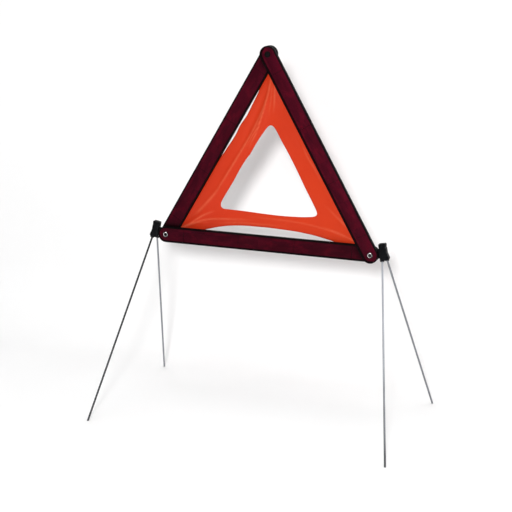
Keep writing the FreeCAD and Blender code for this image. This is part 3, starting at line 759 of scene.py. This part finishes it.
def build_film():
    mesh = bpy.data.meshes.new("film_sheet")
    bm = bmesh.new()
    crease_highlight = bm.verts.layers.float.new("crease_highlight")
    front_skin(bm, crease_highlight)
    thicken(bm, crease_highlight)
    film = add_mesh("film_sheet", mesh, bm)
    mesh.materials.append(film_material())
    return film


film = build_film()
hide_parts("warning_film")
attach(film, "frame")
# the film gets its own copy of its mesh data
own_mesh(film)


# ------------------------------------------------------------------ floor and backdrop
def paper_material():
    m = Mat("stage_paper")
    tone = m.noise(scale=3.0, detail=2.0, rough=0.5)
    m.shade(Base_Color=m.tint((0.86, 0.86, 0.86), (0.88, 0.88, 0.88),
                              m.remap(tone, over=(0.3, 0.7))),
            Roughness=0.9, Specular_IOR_Level=0.1)
    # the camera sees through the back of the paper, so the object shows from behind
    clear = m.node("BsdfTransparent")
    behind = m.math("MULTIPLY", m.node("NewGeometry").outputs["Backfacing"],
                    m.node("LightPath").outputs["Is Camera Ray"])
    choose = m.node("MixShader", {0: behind, 1: m.bsdf.outputs[0], 2: clear.outputs[0]})
    m.feed(m.surface, choose.outputs[0])
    return m.material


def build_floor():
    """Pale floor that curves up into a plain wall."""
    wall, bend, half_width = 0.34, 0.16, 6.0      # the wall's y, the curve's radius
    front, top = -4.0, 4.5
    paper = paper_material()
    profile = [(front, 0.0), (wall - bend, 0.0)]
    for degrees in range(6, 91, 6):
        angle = math.radians(degrees)
        profile.append((wall - bend + bend * math.sin(angle), bend - bend * math.cos(angle)))
    profile.append((wall, top))
    mesh = bpy.data.meshes.new("floor")
    bm = bmesh.new()
    left = [bm.verts.new((-half_width, y, z)) for y, z in profile]
    right = [bm.verts.new((half_width, y, z)) for y, z in profile]
    for i in range(len(profile) - 1):
        bm.faces.new((left[i], right[i], right[i + 1], left[i + 1]))
    floor = add_mesh("floor", mesh, bm)
    mesh.materials.append(paper)


build_floor()


# ------------------------------------------------------------------ light
def build_world():
    """Dim white light all round, with a brighter white where the camera looks past the paper."""
    world = bpy.data.worlds.new("studio")
    bpy.context.scene.world = world
    world.use_nodes = True
    nodes, links = world.node_tree.nodes, world.node_tree.links
    ambient = nodes["Background"]
    backdrop = nodes.new("ShaderNodeBackground")
    for background, strength in ((ambient, 0.355), (backdrop, 1.0)):
        background.inputs["Color"].default_value = (1.0, 1.0, 1.0, 1)
        background.inputs["Strength"].default_value = strength
    ray = nodes.new("ShaderNodeLightPath")
    choose = nodes.new("ShaderNodeMixShader")
    links.new(ray.outputs["Is Camera Ray"], choose.inputs[0])
    links.new(ambient.outputs[0], choose.inputs[1])
    links.new(backdrop.outputs[0], choose.inputs[2])
    links.new(choose.outputs[0], nodes["World Output"].inputs["Surface"])


def add_light(name, kind, energy, toward, location=(0, 0, 0), **settings):
    """toward is the way the light travels."""
    data = bpy.data.lights.new(name, kind)
    data.energy = energy
    for key, value in settings.items():
        setattr(data, key, value)
    light = bpy.data.objects.new(name, data)
    bpy.context.scene.collection.objects.link(light)
    light.location = location
    light.rotation_euler = toward.to_track_quat("-Z", "Y").to_euler()


build_world()
# the key stands behind and above the camera, aimed at a point on the Z axis
key_place = Vector((0.976, -3.656, 1.522))
add_light("key", "AREA", energy=103.0, toward=Vector((0, 0, 0.45)) - key_place,
          location=key_place, shape="DISK", size=0.36)
add_light("top", "SUN", energy=1.42, toward=Vector((0.0, 0.0, -1.0)), angle=math.radians(34.0))

# ------------------------------------------------------------------ camera
CAMERA_TURN = math.radians(19.64)          # from straight in front toward +X
CAMERA_RISE = math.radians(14.27)
CAMERA_ROLL = math.radians(0.708)
CAMERA_DISTANCE = 2.501
SENSOR_WIDTH = 36.0                        # mm
FOCAL_LENGTH = 94.0078125                  # mm


def build_camera():
    target = Vector((-0.0199, 0.0, left_pivot.z - 0.0256))
    back = Vector((math.sin(CAMERA_TURN) * math.cos(CAMERA_RISE),
                   -math.cos(CAMERA_TURN) * math.cos(CAMERA_RISE),
                   math.sin(CAMERA_RISE)))
    level = (-back).cross(Vector((0, 0, 1))).normalized()
    upright = level.cross(-back)
    right = level * math.cos(CAMERA_ROLL) + upright * math.sin(CAMERA_ROLL)
    up = -level * math.sin(CAMERA_ROLL) + upright * math.cos(CAMERA_ROLL)
    place = target + back * CAMERA_DISTANCE
    data = bpy.data.cameras.new("camera")
    data.sensor_width = SENSOR_WIDTH
    data.lens = FOCAL_LENGTH
    data.clip_start, data.clip_end = 0.05, 60.0
    camera = bpy.data.objects.new("camera", data)
    bpy.context.scene.collection.objects.link(camera)
    rows = [(right[i], up[i], back[i], place[i]) for i in range(3)]
    camera.matrix_world = Matrix((*rows, (0, 0, 0, 1)))
    bpy.context.scene.camera = camera


build_camera()
bpy.context.scene.view_settings.view_transform = "Standard"
bpy.context.scene.view_settings.look = "None"
